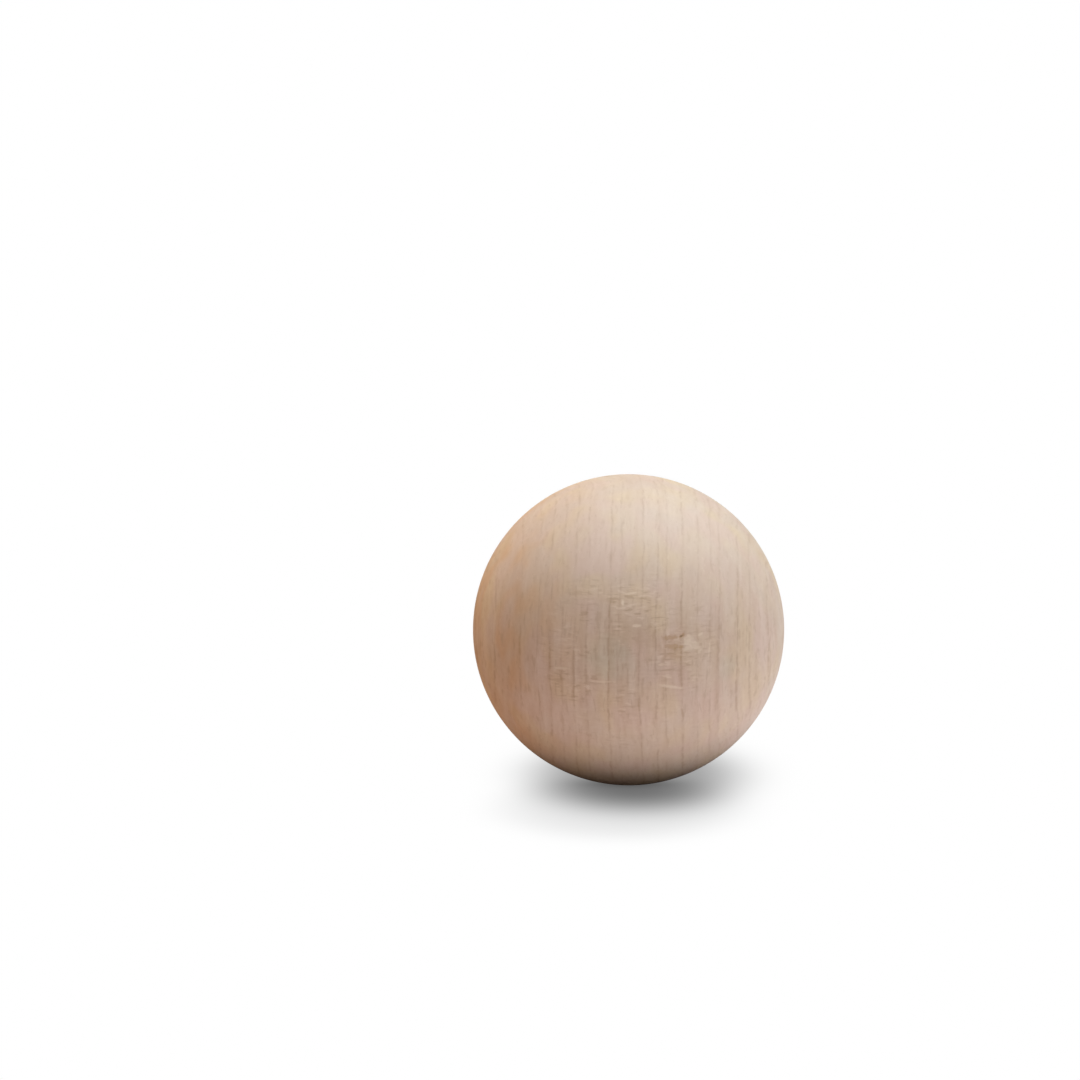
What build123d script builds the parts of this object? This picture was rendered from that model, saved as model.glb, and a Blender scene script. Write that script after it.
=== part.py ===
from build123d import *
import os

# A plain turned ball of pale hardwood: one solid piece and a full sphere, with no bore, flat or parting mark.
# The origin is the ball's centre. +Z is the axis it was turned on, which is also the way its grain runs,
# and -Y is the side that faces the viewer.

ball_diameter = 50.8  # mm across the finished wood, two inches


def half_section(radius):
    """One half of the ball's round section, closed along the turning axis."""
    foot = (0, -radius)
    widest = (radius, 0)
    crown = (0, radius)
    outline = ThreePointArc(foot, widest, crown) + Line(crown, foot)
    return make_face(Plane.XZ * outline)


def turned_ball(diameter):
    """The ball as the lathe makes it: its half section swept once round the turning axis."""
    return revolve(half_section(diameter / 2), Axis.Z)


os.makedirs("parts", exist_ok=True)
export_step(turned_ball(ball_diameter), "parts/ball.step")
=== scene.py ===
from math import atan, cos, pi, radians, sin, tan

import bmesh
import bpy
from mathutils import Matrix, Vector, noise


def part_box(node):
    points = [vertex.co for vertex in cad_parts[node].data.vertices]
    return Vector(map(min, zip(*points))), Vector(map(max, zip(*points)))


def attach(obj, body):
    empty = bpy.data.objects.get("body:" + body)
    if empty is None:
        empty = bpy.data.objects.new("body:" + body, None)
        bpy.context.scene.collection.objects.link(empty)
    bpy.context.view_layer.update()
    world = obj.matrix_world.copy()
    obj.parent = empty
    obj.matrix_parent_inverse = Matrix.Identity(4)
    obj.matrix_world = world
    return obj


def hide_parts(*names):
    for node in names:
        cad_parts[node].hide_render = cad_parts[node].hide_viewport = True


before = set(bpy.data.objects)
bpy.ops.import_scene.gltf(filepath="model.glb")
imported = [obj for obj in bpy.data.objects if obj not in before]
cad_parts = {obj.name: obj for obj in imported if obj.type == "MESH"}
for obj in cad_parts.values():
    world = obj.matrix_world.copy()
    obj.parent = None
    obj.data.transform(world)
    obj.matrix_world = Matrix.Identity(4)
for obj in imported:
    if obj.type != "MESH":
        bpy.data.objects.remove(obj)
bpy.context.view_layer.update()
ballLow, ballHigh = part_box("ball")
radius = (ballHigh.z - ballLow.z) / 2
mm = 0.001
print("frame loaded: ball", round(2 * radius / mm, 2), "mm across")


# Camera, at the photograph's viewing angle and framing

cameraSetup = {
    "pictureSide": 1080,        # pixels along each side of the picture
    "ballAt": (628.7, 629.6),   # the ball's centre there, right and down from the corner
    "ballReach": 155.65,        # radius of its outline, pixels
    "lookDown": 12.4,           # degrees above the bench
    "lens": 400.0,              # mm
    "sensor": 36.0,             # mm
    "farthest": 100,            # m that the camera sees to
}


def cameraAxes(setup):  # the camera's right, its up, and the way from the ball back to it
    tilt = radians(setup["lookDown"])
    return Vector((1, 0, 0)), Vector((0, sin(tilt), cos(tilt))), Vector((0, -cos(tilt), sin(tilt)))


def setCamera(setup):
    side = setup["pictureSide"]
    focal = setup["lens"] / setup["sensor"] * side
    distance = radius / sin(atan(setup["ballReach"] / focal))
    right, up, back = cameraAxes(setup)
    perPixel = distance / focal
    offRight = (setup["ballAt"][0] - side / 2) * perPixel
    offDown = (setup["ballAt"][1] - side / 2) * perPixel
    aim = up * offDown - right * offRight
    camera = bpy.data.objects.new("camera", bpy.data.cameras.new("camera"))
    bpy.context.scene.collection.objects.link(camera)
    camera.data.lens = setup["lens"]
    camera.data.sensor_width = setup["sensor"]
    camera.data.clip_end = setup["farthest"]
    camera.location = back * distance
    camera.rotation_mode = "QUATERNION"
    camera.rotation_quaternion = (aim - camera.location).to_track_quat("-Z", "Y")
    bpy.context.scene.camera = camera
    print("camera set", round(distance, 3), "m from the ball")


setCamera(cameraSetup)


# Short ways to write shader nodes

def addNode(tree, kind, inputs=None, **settings):
    made = tree.nodes.new(kind)
    for name, value in settings.items():
        setattr(made, name, value)
    for key, value in (inputs or {}).items():
        if isinstance(value, bpy.types.NodeSocket):
            tree.links.new(value, made.inputs[key])
        else:
            made.inputs[key].default_value = value
    return made


def calc(tree, operation, first, second=0.0, third=0.0, clamp=False):
    values = {0: first, 1: second, 2: third}
    return addNode(tree, "ShaderNodeMath", values, operation=operation, use_clamp=clamp).outputs[0]


def remap(tree, value, fromLow, fromHigh, toLow=0.0, toHigh=1.0, smooth=True):
    kind = "SMOOTHSTEP" if smooth else "LINEAR"
    values = {
        "Value": value, "From Min": fromLow, "From Max": fromHigh,
        "To Min": toLow, "To Max": toHigh,
    }
    return addNode(tree, "ShaderNodeMapRange", values, interpolation_type=kind).outputs[0]


def tint(tree, amount, under, over, mode="MIX"):
    made = addNode(tree, "ShaderNodeMix", data_type="RGBA", blend_type=mode)
    for socket, value in zip((made.inputs[0], made.inputs[6], made.inputs[7]), (amount, under, over)):
        if isinstance(value, bpy.types.NodeSocket):
            tree.links.new(value, socket)
        else:
            socket.default_value = value if isinstance(value, float) else (*value, 1)
    return made.outputs[2]


def freshMaterial(name):
    material = bpy.data.materials.new(name)
    material.use_nodes = True
    material.node_tree.nodes.clear()
    return material, material.node_tree


# The bare wood

bareWood = {
    "pale": (0.730, 0.580, 0.458),      # clean sanded maple
    "honey": (0.735, 0.575, 0.415),     # yellower drift
    "blush": (0.725, 0.555, 0.455),     # pinker drift
    "ash": (0.700, 0.558, 0.458),       # greyer drift
    "heartTanAndWarmLight": (0.715, 0.490, 0.325),  # tanner wood on the side nearer the tree's heart, partly painted warm light on the ball's left
    "lineBrown": (0.42, 0.24, 0.12),    # the thin dark edge of a year's growth
    "fleckBrown": (0.46, 0.30, 0.17),
    "fleckPale": (0.88, 0.74, 0.62),
    # the next colour tints brown smears, and the patches' tan too: painted shade in the middle of the front
    # and partly painted warm light on the left
    "smearBrownAndPaintedLight": (0.52, 0.32, 0.16),
    "rubbedPale": (0.93, 0.80, 0.65),
    "pitDark": (0.22, 0.14, 0.08),      # the floor of the pit
    "shadeGrey": (0.64, 0.575, 0.45),   # a greyer, greener patch on the front, and part of the painted shade in its middle
    "heartAt": (-170, -11),             # mm from the ball's centre to the heart of the tree
    # growth lines that the enlarged photograph shows, read off it: mm out from the ball's centre
    "clearEdges": (-12.5, -8.5, -3.0, 2.0, 4.5, 8.5, 17.5),
    "softEdges": (-22.0, -17.5, -14.5, -10.5, -6.5, -1.5, 6.0, 11.0, 13.0, 14.5, 19.5),
    "clearDark": 0.95,                  # how dark the first kind is, of lineDark
    "softDark": 0.60,                   # and the second
    "furtherYear": 3.0,                 # mm between the lines past those, where the photograph shows none
    "lineWidth": 0.19,                  # mm from a line's middle to where it has faded
    "lineDark": 0.41,
    "lateDark": 0.14,                   # how dark the late wood is beside its line
    "lateRise": 3.0,                    # how late in the year it darkens
    "slowBend": 1.6,                    # mm that growth lines bend, slowly
    "fineBend": 0.50,                   # and finely
    "yearTone": 0.03,                   # how much one year's wood differs from the next
    "toneShares": (0.66, 1.0, 1.38),    # dark grain is browner: green and blue fall further than red
    "grit": 0.13,                       # how strongly each size of grain shows
    "strand": 0.22,
    "band": 0.28,
    "dash": 0.24,
    "fleck": 0.42,
    "speck": 0.15,                      # and the smallest pale and dark specks
    "gritLift": 0.004,                  # mm that the short fibres stand
    "strandLift": 0.006,                # mm that long bundles of fibres stand
    "fleckLift": 0.012,                 # mm that ray flecks stand
    "lineLift": 0.003,                  # mm that growth lines stand
    "roughness": 0.55,
    "strandRough": 0.16,                # what long fibres add to it
    "lineRough": -0.08,                 # and growth lines
    "specular": 0.62,
    "ior": 1.5,
    # rays run outward through the wood, so they show where the surface lies along them: shares of the radius
    # deep, and how much they show at the one and at the other
    "raysCut": (0.74, 0.96),
    "raysShow": (0.10, 1.0),
    "patchRays": 0.20,                  # how much a patch of figure adds to the areas with rays
    "pitLevels": (0.58, 0.85),          # how brown a mark is where it starts to be a pit, and is one
    "pitMost": 0.9,
    # where along the ball something changes: mm from, mm to, and its strength at the one and at the other
    "zones": {
        "bendBehind": (-12.0, 8.0, 1.0, 3.2),    # growth lines bend more further back
        "fainterCrown": (2.0, 16.0, 1.0, 0.5),    # grain shows less towards the crown
        "smoothFoot": (-6.0, -16.0, 1.0, 0.6),   # and the foot a little
        "boldLeft": (-8.0, -18.0, 1.0, 1.20),    # grain stands out more on the side nearer the heart
        "tanWoodAndWarmLightLeft": (-2.0, -22.0, 0.0, 0.98),     # and the wood is tanner there, partly painted warm light
    },
    # patterns of noise. Size is in mm: out from the heart, round the ring and along the trunk, or right, deep
    # and up where a pattern doesn't follow the rings. Levels are where in the noise it starts and is full.
    "seedSteps": (7.31, 3.17, 5.53),
    "patterns": {
        "slowBend": {"size": (15, 15, 30), "seed": 1, "detail": 2.0},
        "fineBend": {"size": (2.0, 2.0, 4.0), "seed": 2, "detail": 3.0, "rough": 0.6},
        "longBreaks": {"size": (0.9, 2.5, 5.0), "seed": 3, "detail": 2.0, "levels": (0.38, 0.60),
                       "least": 0.15, "most": 1.15},
        "grit": {"size": (0.45, 1.2, 0.9), "seed": 4, "rough": 0.4},
        "strands": {"size": (0.80, 3.5, 8.0), "seed": 5},
        "bands": {"size": (1.3, 6.0, 24.0), "seed": 6, "detail": 2.0},
        "dashes": {"size": (0.55, 1.8, 2.6), "seed": 7, "levels": (0.42, 0.28)},
        "rays": {"size": (1.6, 1.6, 0.44), "seed": 8, "rough": 0.4},
        "honey": {"size": (7, 7, 14), "seed": 9, "levels": (0.38, 0.62), "most": 0.9},
        "blush": {"size": (6, 6, 9), "seed": 10, "levels": (0.42, 0.66)},
        "ash": {"size": (5, 5, 7), "seed": 11, "levels": (0.46, 0.70), "most": 0.6},
        "rayAreas": {"size": (4.0, 4.0, 5.0), "seed": 12, "levels": (0.43, 0.62), "least": 0.24},
        "shortBreaks": {"size": (0.7, 1.5, 0.9), "seed": 13, "levels": (0.32, 0.54),
                        "least": 0.50, "most": 1.1},
        "specks": {"size": (0.42, 0.42, 0.55), "seed": 14},
    },
    "darkFleckLevels": (0.45, 0.30),    # dark and pale flecks are the low and the high end of one pattern
    "paleFleckLevels": (0.56, 0.70),
    "darkSpeckLevels": (0.33, 0.25),    # and so are dark and pale specks
    "paleSpeckLevels": (0.66, 0.75),
}


def listEdges(look):
    edges = [(place, look["clearDark"]) for place in look["clearEdges"]]
    edges += [(place, look["softDark"]) for place in look["softEdges"]]
    edges.sort()
    year = look["furtherYear"]
    ends = radius / mm + 2 * year
    while edges[0][0] > -ends:
        edges.insert(0, (edges[0][0] - year, look["softDark"]))
    while edges[-1][0] < ends:
        edges.append((edges[-1][0] + year, look["softDark"]))
    return edges


def makeBareWood(look):
    material, tree = freshMaterial("bare_wood")

    # the ball's own coordinates in mm, and a slow and a fine wander of the grain
    atBall = addNode(tree, "ShaderNodeTexCoord").outputs["Object"]
    toMm = {0: atBall, 1: (1 / mm,) * 3}
    inMm = addNode(tree, "ShaderNodeVectorMath", toMm, operation="MULTIPLY").outputs[0]
    acrossMm, deepMm, alongMm = addNode(tree, "ShaderNodeSeparateXYZ", {0: inMm}).outputs
    zones, patterns = look["zones"], look["patterns"]

    def drift(name, source=None):
        pattern = patterns[name]
        scale = tuple(1 / size for size in pattern["size"])
        shift = tuple(pattern["seed"] * step for step in look["seedSteps"])
        at = addNode(tree, "ShaderNodeVectorMath", {0: source or inMm, 1: scale, 2: shift},
                     operation="MULTIPLY_ADD").outputs[0]
        inputs = {
            "Vector": at, "Scale": 1.0,
            "Detail": pattern.get("detail", 1.0), "Roughness": pattern.get("rough", 0.5),
        }
        return addNode(tree, "ShaderNodeTexNoise", inputs, noise_dimensions="3D").outputs[0]

    def shown(value, name):  # how much a pattern shows, by its levels
        pattern = patterns[name]
        return remap(tree, value, *pattern["levels"], pattern.get("least", 0.0), pattern.get("most", 1.0))

    def centred(value, amount):
        return calc(tree, "MULTIPLY_ADD", value, amount, -amount / 2)

    waver = remap(tree, deepMm, *zones["bendBehind"])
    slow = calc(tree, "MULTIPLY", centred(drift("slowBend"), look["slowBend"]), waver)
    fine = centred(drift("fineBend"), look["fineBend"])
    wander = calc(tree, "ADD", slow, fine)

    # distance from the tree's heart, round the ring, and along the trunk
    heartX, heartY = look["heartAt"]
    reach = Vector(look["heartAt"]).length
    fromX = calc(tree, "SUBTRACT", acrossMm, heartX)
    fromY = calc(tree, "SUBTRACT", deepMm, heartY)
    squares = calc(tree, "MULTIPLY_ADD", fromX, fromX, calc(tree, "MULTIPLY", fromY, fromY))
    outward = calc(tree, "SUBTRACT", calc(tree, "SQRT", squares), reach)
    growth = calc(tree, "ADD", outward, wander)
    roundRing = calc(tree, "MULTIPLY", calc(tree, "ARCTAN2", fromY, fromX), reach)
    grainAt = addNode(tree, "ShaderNodeCombineXYZ", {0: growth, 1: roundRing, 2: alongMm}).outputs[0]

    # which two growth lines a point lies between, and how far it is from each
    lines = listEdges(look)
    first, last = lines[0][0], lines[-1][0]
    gaps = len(lines) - 1
    ageShare = remap(tree, growth, first, last, smooth=False)
    counting = addNode(tree, "ShaderNodeFloatCurve", {"Value": ageShare})
    for count, (place, _) in enumerate(lines[1:-1], 1):
        counting.mapping.curves[0].points.new((place - first) / (last - first), count / gaps)
    for point in counting.mapping.curves[0].points:
        point.handle_type = "VECTOR"
    counting.mapping.update()
    age = calc(tree, "MULTIPLY", counting.outputs[0], float(gaps))
    year = calc(tree, "FLOOR", age)
    season = calc(tree, "FRACT", age)
    yearShare = calc(tree, "MULTIPLY_ADD", year, 1 / gaps, 0.5 / gaps)
    between = addNode(tree, "ShaderNodeValToRGB", {"Fac": yearShare})
    between.color_ramp.interpolation = "CONSTANT"
    stops = between.color_ramp.elements
    stops.remove(stops[1])
    fullRed = 10  # mm between lines that the ramp's full red stands for
    for count, (inner, outer) in enumerate(zip(lines, lines[1:])):
        stop = stops.new(count / gaps) if count else stops[0]
        stop.color = ((outer[0] - inner[0]) / fullRed, inner[1], outer[1], 1)
    gap, darkInner, darkOuter = addNode(tree, "ShaderNodeSeparateColor", {0: between.outputs[0]}).outputs
    ownYear = addNode(tree, "ShaderNodeTexWhiteNoise", {"W": year}, noise_dimensions="1D").outputs["Value"]

    # how strongly the grain shows, from place to place
    calm = remap(tree, alongMm, *zones["fainterCrown"])
    calm = calc(tree, "MULTIPLY", calm, remap(tree, alongMm, *zones["smoothFoot"]))
    calm = calc(tree, "MULTIPLY", calm, remap(tree, acrossMm, *zones["boldLeft"]))

    # dark growth lines, soft at both sides, broken and uneven, with darker wood just inside each
    def fadeFrom(share, dark):
        away = calc(tree, "MULTIPLY", calc(tree, "MULTIPLY", share, gap), fullRed / look["lineWidth"])
        fallen = calc(tree, "EXPONENT", calc(tree, "MULTIPLY", calc(tree, "MULTIPLY", away, away), -1.0))
        return calc(tree, "MULTIPLY", fallen, dark)

    innerLine = fadeFrom(season, darkInner)
    outerLine = fadeFrom(calc(tree, "SUBTRACT", 1.0, season), darkOuter)
    line = calc(tree, "ADD", innerLine, outerLine)
    lateWood = calc(tree, "MULTIPLY", calc(tree, "POWER", season, look["lateRise"]), darkOuter)
    line = calc(tree, "MULTIPLY_ADD", lateWood, look["lateDark"], line)
    longBreaks = shown(drift("longBreaks", grainAt), "longBreaks")
    shortBreaks = shown(drift("shortBreaks", grainAt), "shortBreaks")
    line = calc(tree, "MULTIPLY", line, calc(tree, "MULTIPLY", longBreaks, shortBreaks))
    line = calc(tree, "MULTIPLY", line, calm, clamp=True)

    # short fibres, long bundles, and the flecks where rays meet the surface
    grit = drift("grit", grainAt)
    strands = drift("strands", grainAt)
    bands = drift("bands", grainAt)
    dashes = shown(drift("dashes", grainAt), "dashes")
    dashes = calc(tree, "MULTIPLY", dashes, calm)
    rays = drift("rays", grainAt)
    cutFrom, cutTo = (share * radius / mm for share in look["raysCut"])
    cutAlong = remap(tree, calc(tree, "ABSOLUTE", deepMm), cutFrom, cutTo, *look["raysShow"])
    rayPatch = addNode(tree, "ShaderNodeAttribute", attribute_name="rayPatch").outputs["Fac"]
    raysWhere = calc(tree, "MULTIPLY_ADD", rayPatch, look["patchRays"], drift("rayAreas"))
    raysWhere = calc(tree, "MULTIPLY", shown(raysWhere, "rayAreas"), cutAlong)
    darkFlecks = calc(tree, "MULTIPLY", remap(tree, rays, *look["darkFleckLevels"]), raysWhere)
    paleFlecks = calc(tree, "MULTIPLY", remap(tree, rays, *look["paleFleckLevels"]), raysWhere)
    specks = drift("specks")
    paleSpecks = remap(tree, specks, *look["paleSpeckLevels"])
    darkSpecks = remap(tree, specks, *look["darkSpeckLevels"])

    # slow drifts of colour
    # tanner on the left, towards the heart: partly tanner wood, partly painted warm light
    wood = tint(tree, remap(tree, growth, *zones["tanWoodAndWarmLightLeft"]), look["pale"], look["heartTanAndWarmLight"])
    for name in ("honey", "blush", "ash"):
        wood = tint(tree, shown(drift(name), name), wood, look[name])
    # grey patches, which in the middle of the front are painted shade
    greyed = addNode(tree, "ShaderNodeAttribute", attribute_name="greyPatch").outputs["Fac"]
    wood = tint(tree, greyed, wood, look["shadeGrey"])

    tone = calc(tree, "ADD", centred(grit, look["grit"]), centred(strands, look["strand"]))
    tone = calc(tree, "ADD", tone, centred(bands, look["band"]))
    tone = calc(tree, "MULTIPLY", tone, calm)
    tone = calc(tree, "ADD", tone, centred(ownYear, look["yearTone"]))
    shares = {k: calc(tree, "MULTIPLY_ADD", tone, share, 1.0) for k, share in enumerate(look["toneShares"])}
    wood = tint(tree, 1.0, wood, addNode(tree, "ShaderNodeCombineColor", shares).outputs[0], "MULTIPLY")
    wood = tint(tree, calc(tree, "MULTIPLY", line, look["lineDark"]), wood, look["lineBrown"])
    wood = tint(tree, calc(tree, "MULTIPLY", dashes, look["dash"]), wood, look["fleckBrown"])
    wood = tint(tree, calc(tree, "MULTIPLY", darkFlecks, look["fleck"]), wood, look["fleckBrown"])
    wood = tint(tree, calc(tree, "MULTIPLY", paleFlecks, look["fleck"]), wood, look["fleckPale"])
    wood = tint(tree, calc(tree, "MULTIPLY", paleSpecks, look["speck"]), wood, look["rubbedPale"])
    wood = tint(tree, calc(tree, "MULTIPLY", darkSpecks, look["speck"]), wood, look["fleckBrown"])

    # marks that the mesh carries: brown smears and torn or rubbed pale spots, and the patches' tan, which is
    # painted shade in the middle of the front and partly painted warm light on the left
    brown = addNode(tree, "ShaderNodeAttribute", attribute_name="brownMarkAndPaintedLight").outputs["Fac"]
    rubbed = addNode(tree, "ShaderNodeAttribute", attribute_name="paleMark").outputs["Fac"]
    wood = tint(tree, brown, wood, look["smearBrownAndPaintedLight"])
    wood = tint(tree, remap(tree, brown, *look["pitLevels"], 0.0, look["pitMost"]), wood, look["pitDark"])
    wood = tint(tree, rubbed, wood, look["rubbedPale"])

    # raised grain, in mm
    height = calc(tree, "ADD", centred(grit, look["gritLift"]), centred(strands, look["strandLift"]))
    height = calc(tree, "MULTIPLY_ADD", paleFlecks, look["fleckLift"], height)
    height = calc(tree, "MULTIPLY_ADD", darkFlecks, -look["fleckLift"], height)
    height = calc(tree, "MULTIPLY_ADD", line, look["lineLift"], height)
    bump = addNode(tree, "ShaderNodeBump", {"Strength": 1.0, "Distance": mm, "Height": height})

    rough = calc(tree, "MULTIPLY_ADD", strands, look["strandRough"], look["roughness"])
    rough = calc(tree, "MULTIPLY_ADD", line, look["lineRough"], rough)
    surface = addNode(tree, "ShaderNodeBsdfPrincipled", {
        "Base Color": wood, "Roughness": rough, "Normal": bump.outputs[0],
        "Specular IOR Level": look["specular"], "IOR": look["ior"],
    })
    addNode(tree, "ShaderNodeOutputMaterial", {"Surface": surface.outputs[0]})
    print("bare wood made:", len(tree.nodes), "nodes,", len(lines), "growth lines")
    return material


# The turned ball

turnedBall = {
    "cells": 90,                 # mesh cells along each side of the wrapped cube
    "weld": 1e-5,                # share of the radius within which the sides' edge points are joined
    "finerReach": 0.55,          # mm round a mark that gets a finer mesh
    "finerTimes": 2,
    "straightCorner": 160,       # degrees from which a face's corner counts as lying on a straight side
    "sandedWaves": 0.015,        # mm that hand sanding has left the surface uneven
    "waveLength": 6,             # mm
    "raggedBroad": (0.42, 1.9),  # how ragged a mark's edge is, as a share of its size, and waves to a mm
    "raggedFine": (0.16, 5.3),
    "markEdge": (1.15, 0.75),    # where a mark has faded out, 1 at its edge, and how far in its fading goes
    "raggedPatch": (0.25, 2.2),  # the same for a patch, with mm to a wave
    "patchEdge": (1.2, 0.9),
    "searchFiner": 1.0,          # mm past a mark's or patch's edge that are looked at for each of these
    "searchMark": 0.5,
    "searchPatch": 2.0,
}

# Small marks on the side that faces the viewer, read off the enlarged photograph. Each is an
# ellipse: mm to the right of the ball's middle and mm up as the camera sees it, mm long, mm wide,
# degrees that it leans, mm deep, how brown and how pale.
marks = {
    "pit": (8.6, -1.0, 1.5, 0.8, 35, 0.12, 0.78, 0.0),
    "smearHigh": (6.5, -1.3, 3.6, 1.1, 5, 0.01, 0.56, 0.0),
    "smearMiddle": (7.2, -2.7, 4.0, 1.1, -3, 0.01, 0.56, 0.0),
    "smearLow": (7.2, -4.2, 4.0, 0.9, -3, 0.01, 0.36, 0.0),
    "smearAll": (7.0, -3.0, 5.4, 4.4, 0, 0.01, 0.18, 0.0),
    "smearSide": (4.9, -3.0, 3.6, 0.8, -85, 0.01, 0.14, 0.0),
    "tornEdge": (9.8, -1.8, 2.8, 2.0, -60, 0.03, 0.0, 0.54),
    "tornMiddle": (10.8, -2.5, 2.8, 1.5, -35, 0.03, 0.0, 0.48),
    "tornSpur": (9.5, -3.0, 2.0, 1.1, 20, 0.02, 0.0, 0.42),
    "tornHigh": (11.7, -0.6, 1.2, 0.5, 30, 0.03, 0.0, 0.42),
    "tornLow": (11.6, -3.3, 1.3, 0.7, 50, 0.03, 0.0, 0.42),
    "tornLeft": (5.3, -5.6, 1.3, 0.5, 5, 0.02, 0.0, 0.35),
    "rubbedStroke": (13.1, -3.0, 3.2, 0.4, -93, 0.02, 0.0, 0.38),
    "scratchLeft": (-10.7, -6.2, 4.2, 0.5, 4, 0.03, 0.0, 0.50),
    "scratchMiddle": (-4.1, -8.4, 5.0, 0.4, 2, 0.02, 0.0, 0.40),
    "scratchRight": (6.9, -9.2, 4.8, 0.6, -14, 0.03, 0.0, 0.50),
    "scratchShort": (6.2, -7.6, 2.6, 0.3, -15, 0.02, 0.0, 0.36),
    "scratchHigh": (0.4, 5.9, 3.0, 0.3, 8, 0.02, 0.0, 0.38),
    "scratchNear": (1.3, 0.7, 1.6, 0.6, 2, 0.03, 0.0, 0.55),
    "spark": (-0.9, 4.4, 1.3, 0.6, -85, 0.02, 0.0, 0.70),
}

# Larger patches, read the same way: mm right and up, mm long, mm wide, degrees that it leans,
# how much more (or less, below 0) the rays show there, how grey the wood is and how tan. In the middle patch
# the grey and tan are painted shade, and on the left the tan is partly painted warm light.
patches = {
    "figureMiddle": (2.5, 4.0, 15.0, 7.0, -10, 1.0, 0.0, 0.0),
    "figureRight": (11.0, -1.0, 9.0, 9.0, 0, 1.0, 0.0, 0.13),
    "figureLow": (-9.5, -9.5, 7.0, 8.0, 0, 0.7, 0.0, 0.0),
    "figureLeft": (-8.0, 5.0, 10.0, 9.0, 0, 0.6, 0.0, 0.08),
    "calmMiddle": (-2.8, -4.5, 9.0, 8.5, 0, -1.0, 0.60, 0.0),
    # painted shade: a darker patch in the middle of the front
    "paintedShadeMiddle": (1.5, -0.5, 8.0, 6.5, 0, 0.0, 0.12, 0.20),
    "calmLow": (3.0, -15.0, 22.0, 7.0, 0, -1.0, 0.0, 0.0),
    "greyRight": (16.0, -6.0, 4.0, 5.0, 0, 0.0, 0.35, 0.0),
    # tanner wood on the left, and partly painted warm light
    "tanWoodAndWarmLightLeft": (-17.0, 1.0, 14.0, 18.0, 0, 0.4, 0.0, 0.17),
}


def wrapCube(setup, size):  # a cube of even cells, its points pushed out to a sphere
    bm = bmesh.new()
    cells = setup["cells"]
    turns = [Matrix.Rotation(pi / 2 * k, 3, "Z") for k in range(4)]
    turns += [Matrix.Rotation(pi / 2, 3, "Y"), Matrix.Rotation(-pi / 2, 3, "Y")]
    steps = [tan(pi / 2 * (k / cells - 0.5)) for k in range(cells + 1)]
    for turn in turns:
        rows = [[bm.verts.new(turn @ Vector((1, a, b)).normalized() * size) for a in steps]
                for b in steps]
        for low, high in zip(rows, rows[1:]):
            for k in range(cells):
                bm.faces.new((low[k], low[k + 1], high[k + 1], high[k]))
    bmesh.ops.remove_doubles(bm, verts=bm.verts, dist=size * setup["weld"])
    return bm


def layMark(mark):
    right, up, back = cameraAxes(cameraSetup)
    toRight, toTop, long, wide, lean = mark[:5]
    toRight, toTop, lean = toRight * mm, toTop * mm, radians(lean)
    out = right * toRight + up * toTop + back * (radius ** 2 - toRight ** 2 - toTop ** 2) ** 0.5
    out.normalize()
    leaning = right * cos(lean) + up * sin(lean)
    along = (leaning - out * leaning.dot(out)).normalized()
    return {"out": out, "along": along, "side": out.cross(along), "long": long / 2, "wide": wide / 2}


# a point's share of the way out across a mark, 0 at its middle and 1 at its edge, and its mm past that edge
def shareAcross(laid, point):
    offset = (point - laid["out"] * radius) / mm
    along, side = offset.dot(laid["along"]), offset.dot(laid["side"])
    share = ((along / laid["long"]) ** 2 + (side / laid["wide"]) ** 2) ** 0.5
    beyond = max(abs(along) - laid["long"], abs(side) - laid["wide"])
    return share, beyond


def isClose(laid, point, reach):
    return (point - laid["out"] * radius).length < (max(laid["long"], laid["wide"]) + reach) * mm


def easeOff(share, start, width):
    fall = min(1.0, max(0.0, (start - share) / width))
    return fall * fall * (3 - 2 * fall)


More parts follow.
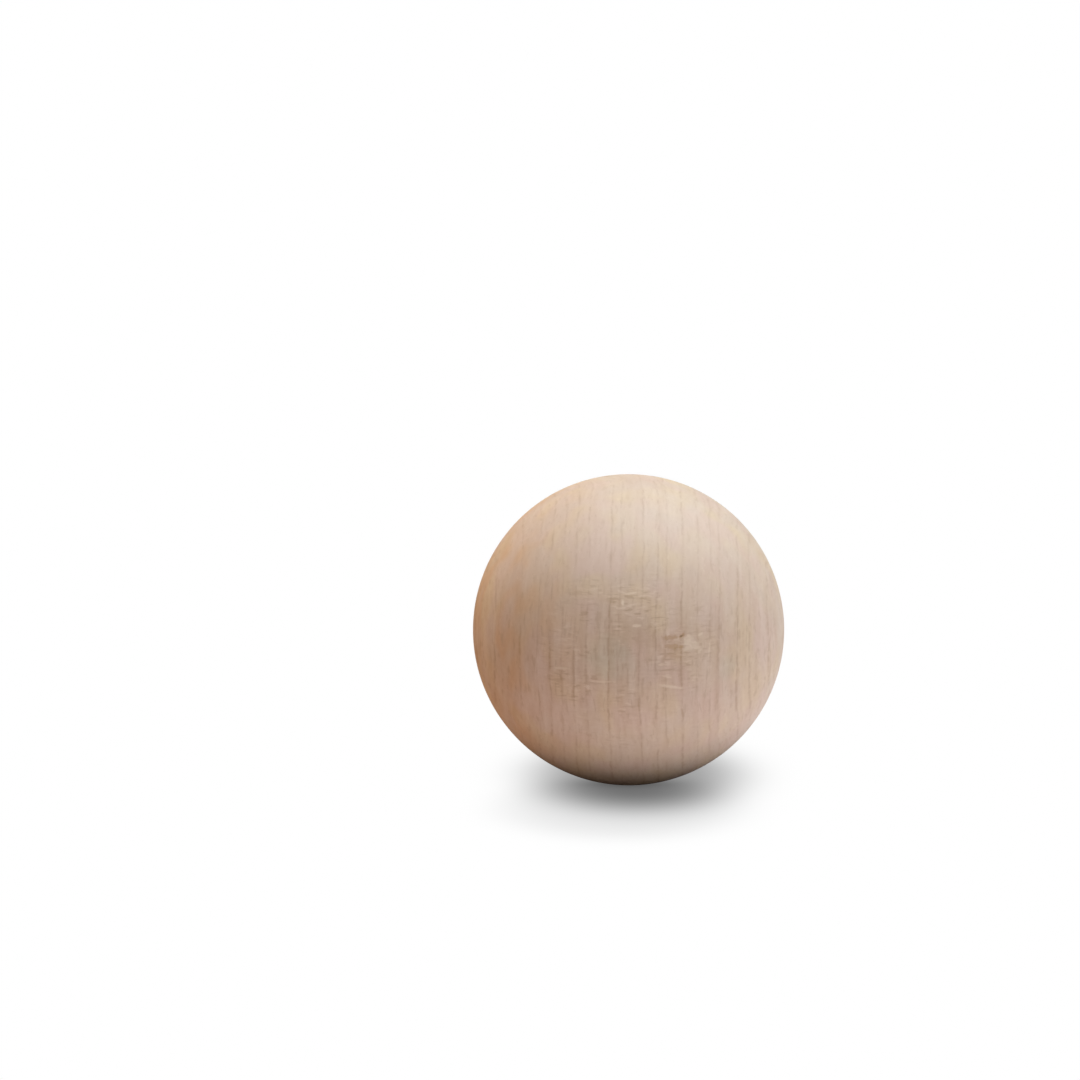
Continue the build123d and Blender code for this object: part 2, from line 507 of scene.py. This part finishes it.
def makeTurnedBall(setup, marks, patches):
    bm = wrapCube(setup, radius)
    laidMarks = [(layMark(mark), *mark[5:]) for mark in marks.values()]
    laidPatches = [(layMark(patch), *patch[5:]) for patch in patches.values()]

    def near(point, reach):
        closeMarks = (laid for laid, *_ in laidMarks if isClose(laid, point, setup["searchFiner"]))
        return any(shareAcross(laid, point)[1] < reach for laid in closeMarks)

    for count in range(setup["finerTimes"]):
        reach = setup["finerReach"] / (count + 1)
        edges = [e for e in bm.edges if near((e.verts[0].co + e.verts[1].co) / 2, reach)]
        bmesh.ops.subdivide_edges(bm, edges=edges, cuts=1, use_grid_fill=True, use_single_edge=True)
        for vert in bm.verts:
            vert.co = vert.co.normalized() * radius

    # a face with a corner on a straight side, where finer cells meet coarse ones, is cut into sound triangles
    straight = radians(setup["straightCorner"])
    mixed = [face for face in bm.faces
             if len(face.verts) > 4 or max(loop.calc_angle() for loop in face.loops) > straight]
    bmesh.ops.triangulate(bm, faces=mixed, quad_method="BEAUTY", ngon_method="BEAUTY")

    # sanding and the marks sink the surface, and the mesh carries the colours of marks and patches
    names = ("brownMarkAndPaintedLight", "paleMark", "rayPatch", "greyPatch")
    layers = [bm.verts.layers.float.new(name) for name in names]
    broad, broadWaves = setup["raggedBroad"]
    fine, fineWaves = setup["raggedFine"]
    uneven, unevenWave = setup["raggedPatch"]
    for vert in bm.verts:
        point = vert.co.copy()
        inMm = point / mm
        sunk = setup["sandedWaves"] * (0.5 + 0.5 * noise.noise(inMm / setup["waveLength"]))
        ragged = broad * noise.noise(inMm * broadWaves) + fine * noise.noise(inMm * fineWaves)
        brownest = palest = rays = greyest = 0.0
        for laid, deep, brown, pale in laidMarks:
            if isClose(laid, point, setup["searchMark"]):
                fall = easeOff(shareAcross(laid, point)[0] + ragged, *setup["markEdge"])
                sunk += fall * deep
                brownest = max(brownest, fall * brown)
                palest = max(palest, fall * pale)
        # the patches' grey and tan hold painted shade in the middle of the front and partly painted warm
        # light on the left
        for laid, rayed, grey, tanAndPaintedLight in laidPatches:
            if isClose(laid, point, setup["searchPatch"]):
                share = shareAcross(laid, point)[0] + uneven * noise.noise(inMm / unevenWave)
                fall = easeOff(share, *setup["patchEdge"])
                rays += fall * rayed
                greyest = max(greyest, fall * grey)
                brownest = max(brownest, fall * tanAndPaintedLight)
        for layer, value in zip(layers, (brownest, palest, rays, greyest)):
            vert[layer] = value
        vert.co = point.normalized() * (radius - sunk * mm)

    mesh = bpy.data.meshes.new("turned_ball")
    bm.normal_update()
    bm.to_mesh(mesh)
    bm.free()
    for polygon in mesh.polygons:
        polygon.use_smooth = True
    ball = bpy.data.objects.new("turned_ball", mesh)
    bpy.context.scene.collection.objects.link(ball)
    mesh.materials.append(makeBareWood(bareWood))
    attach(ball, "root")
    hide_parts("ball")
    print("turned ball made:", len(mesh.polygons), "faces,", len(marks), "small marks")


makeTurnedBall(turnedBall, marks, patches)


# Bench and light

bench = {
    "side": 8.0,                       # m
    # the soft shadow in two parts, and a small dark core where the ball stands: lengths are in radii
    "shades": (
        {"at": (0.05, 0.15), "reach": (0.69, 1.03), "edge": 4.0, "takes": 0.68},
        {"at": (-0.05, -0.75), "reach": (0.76, 0.85), "edge": 5.0, "takes": 0.18},
        {"at": (0.0, -0.05), "reach": (0.30, 0.12), "edge": 2.0, "takes": 0.09},
    ),
    "darkest": (0.11, 0.095, 0.085),   # the least light that the shadow leaves
    "bounce": {                        # what the bench throws back on the ball from each side
        "front": (0.99, 0.88, 0.84),
        "right": (1.32, 1.26, 1.28),
        "back": (0.30, 0.28, 0.27),
        "left": (0.50, 0.26, 0.13),
    },
    "underBall": (0.02, 0.015, 0.01),  # and from beneath the ball, where it is dark
    "underReach": (0.70, 1.25),        # radii out from its foot, where the one turns into the other
}

# which way each lamp hangs: degrees round from the viewer towards the right, and degrees up
lamps = {
    "overhead": {"turn": 0, "lift": 90, "power": 0.89, "spread": 50, "colour": (0.97, 0.98, 0.98)},
    "rearRight": {"turn": 120, "lift": 45, "power": 0.39, "spread": 50, "colour": (0.85, 0.97, 1.0)},
    "rearLeft": {"turn": 225, "lift": 15, "power": 0.31, "spread": 50, "colour": (1.0, 0.65, 0.31)},
}


def makeBench(setup):
    half = setup["side"] / 2
    mesh = bpy.data.meshes.new("bench")
    corners = [(-half, -half), (half, -half), (half, half), (-half, half)]
    mesh.from_pydata([(x, y, ballLow.z) for x, y in corners], [], [(0, 1, 2, 3)])
    top = bpy.data.objects.new("bench", mesh)
    bpy.context.scene.collection.objects.link(top)
    material, tree = freshMaterial("bench_white")

    at = addNode(tree, "ShaderNodeTexCoord").outputs["Object"]
    flat = addNode(tree, "ShaderNodeVectorMath", {0: at, 1: (1, 1, 0)}, operation="MULTIPLY").outputs[0]

    # what the picture sees: a bright white top with the ball's soft shadow painted on it, not cast by a lamp
    light = (1.0, 1.0, 1.0)
    for shade in setup["shades"]:
        reach = [length * radius for length in shade["reach"]]
        size = (1 / reach[0], 1 / reach[1], 0)
        shift = (-shade["at"][0] / shade["reach"][0], -shade["at"][1] / shade["reach"][1], 0)
        inside = addNode(tree, "ShaderNodeVectorMath", {0: flat, 1: size, 2: shift},
                         operation="MULTIPLY_ADD").outputs[0]
        outTo = addNode(tree, "ShaderNodeVectorMath", {0: inside}, operation="LENGTH").outputs["Value"]
        fading = calc(tree, "MULTIPLY", calc(tree, "POWER", outTo, shade["edge"]), -1.0)
        strength = calc(tree, "EXPONENT", fading)
        taken = (-shade["takes"],) * 3
        light = addNode(tree, "ShaderNodeVectorMath", {0: strength, 1: taken, 2: light},
                        operation="MULTIPLY_ADD").outputs[0]
    light = addNode(tree, "ShaderNodeVectorMath", {0: light, 1: setup["darkest"]},
                    operation="MAXIMUM").outputs[0]
    picture = addNode(tree, "ShaderNodeEmission", {"Color": light, "Strength": 1.0})

    # what the ball sees: light thrown back, warm and dim on its left, and dark beneath it
    parts = addNode(tree, "ShaderNodeSeparateXYZ", {0: at}).outputs
    turn = calc(tree, "ARCTAN2", calc(tree, "MULTIPLY", parts[0], -1.0), parts[1])
    turnShare = calc(tree, "MULTIPLY_ADD", turn, 1 / (2 * pi), 0.5)
    ramp = addNode(tree, "ShaderNodeValToRGB", {"Fac": turnShare})
    stops = ramp.color_ramp.elements
    stops[0].position, stops[1].position = 0.0, 1.0
    sides = ("front", "right", "back", "left")
    for count, side in enumerate(sides):
        stop = stops.new(count / len(sides)) if count else stops[0]
        stop.color = (*setup["bounce"][side], 1)
    stops[len(stops) - 1].color = (*setup["bounce"]["front"], 1)
    away = addNode(tree, "ShaderNodeVectorMath", {0: flat}, operation="LENGTH").outputs["Value"]
    beneath = remap(tree, away, *(share * radius for share in setup["underReach"]), 1.0, 0.0)
    bounce = tint(tree, beneath, ramp.outputs[0], setup["underBall"])
    thrown = addNode(tree, "ShaderNodeEmission", {"Color": bounce, "Strength": 1.0})

    seen = addNode(tree, "ShaderNodeLightPath").outputs["Is Camera Ray"]
    both = addNode(tree, "ShaderNodeMixShader", {0: seen, 1: thrown.outputs[0], 2: picture.outputs[0]})
    addNode(tree, "ShaderNodeOutputMaterial", {"Surface": both.outputs[0]})
    mesh.materials.append(material)


def hangLamps(setups):
    for name, setup in setups.items():
        light = bpy.data.lights.new(name, "SUN")
        light.energy = setup["power"] * pi
        light.angle = radians(setup["spread"])
        light.color = setup["colour"]
        turn, lift = radians(setup["turn"]), radians(setup["lift"])
        towards = Vector((sin(turn) * cos(lift), -cos(turn) * cos(lift), sin(lift)))
        lamp = bpy.data.objects.new(name, light)
        lamp.rotation_mode = "QUATERNION"
        lamp.rotation_quaternion = towards.to_track_quat("Z", "Y")
        bpy.context.scene.collection.objects.link(lamp)


room = {
    "seen": 1.0,     # how bright the white behind the bench looks
    "thrown": 0.01,  # and how much light it gives
}


def setRoom(setup):
    world = bpy.data.worlds.new("studio")
    bpy.context.scene.world = world
    world.use_nodes = True
    tree = world.node_tree
    tree.nodes.clear()
    seen = addNode(tree, "ShaderNodeLightPath").outputs["Is Camera Ray"]
    strength = remap(tree, seen, 0.0, 1.0, setup["thrown"], setup["seen"], False)
    back = addNode(tree, "ShaderNodeBackground", {"Color": (1, 1, 1, 1), "Strength": strength})
    addNode(tree, "ShaderNodeOutputWorld", {"Surface": back.outputs[0]})
    bpy.context.scene.view_settings.view_transform = "Standard"


makeBench(bench)
hangLamps(lamps)
setRoom(room)
print("bench and", len(lamps), "lamps set")
